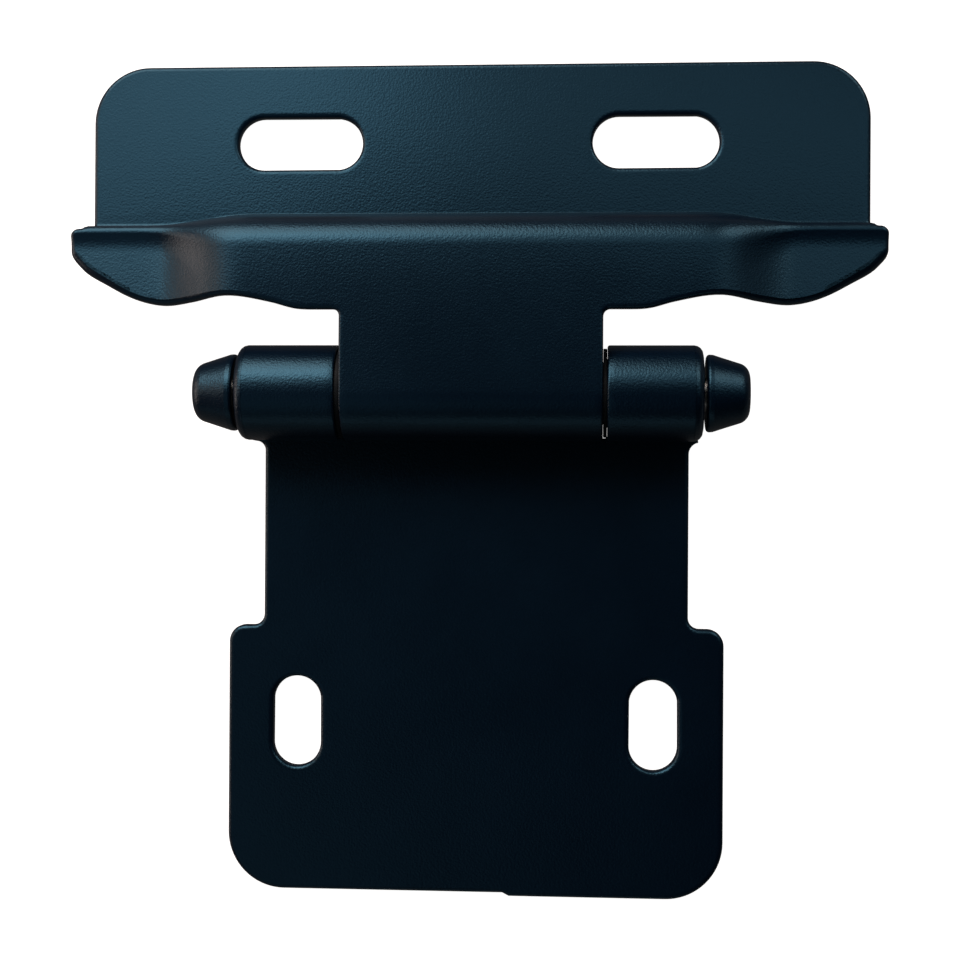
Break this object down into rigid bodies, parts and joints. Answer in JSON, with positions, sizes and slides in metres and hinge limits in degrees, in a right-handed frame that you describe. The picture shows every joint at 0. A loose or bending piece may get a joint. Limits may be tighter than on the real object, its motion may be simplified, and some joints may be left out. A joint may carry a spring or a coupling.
{
  "type": "self-closing cabinet hinge",
  "caption": "Black surface-mount cabinet hinge with a stepped, eared door leaf, a plain frame leaf, slotted screw holes and a sprung barrel that swings the door shut.",
  "frame": {"origin": "on the frame leaf's back face, midway between its two screw slots", "axes": "+X along the hinge pin, +Y from the frame leaf towards the door leaf, +Z away from the mounting surface"},
  "size_m": [0.072, 0.0745, 0.0084],
  "materials": {
    "black_coat": "satin",
    "pin_steel": "satin",
    "spring_steel": "satin",
    "nylon": "matte"
  },
  "bodies": {
    "frame": {"frame_leaf": "black_coat", "hinge_pin": "pin_steel", "pin_tip_left": "black_coat", "pin_tip_right": "black_coat", "bush_left": "nylon", "bush_right": "nylon"},
    "door": {"door_leaf": "black_coat", "closing_spring": "spring_steel"}
  },
  "joints": [
    {"name": "door_swing", "type": "hinge", "parent": "frame", "child": "door", "pos_m": [0, 0.02945, 0.0042], "axis": [1, 0, 0], "range_deg": [0, 145], "stiffness_Nm_per_rad": 0.06, "springref_deg": -68.75, "deforming": ["closing_spring"]}
  ]
}
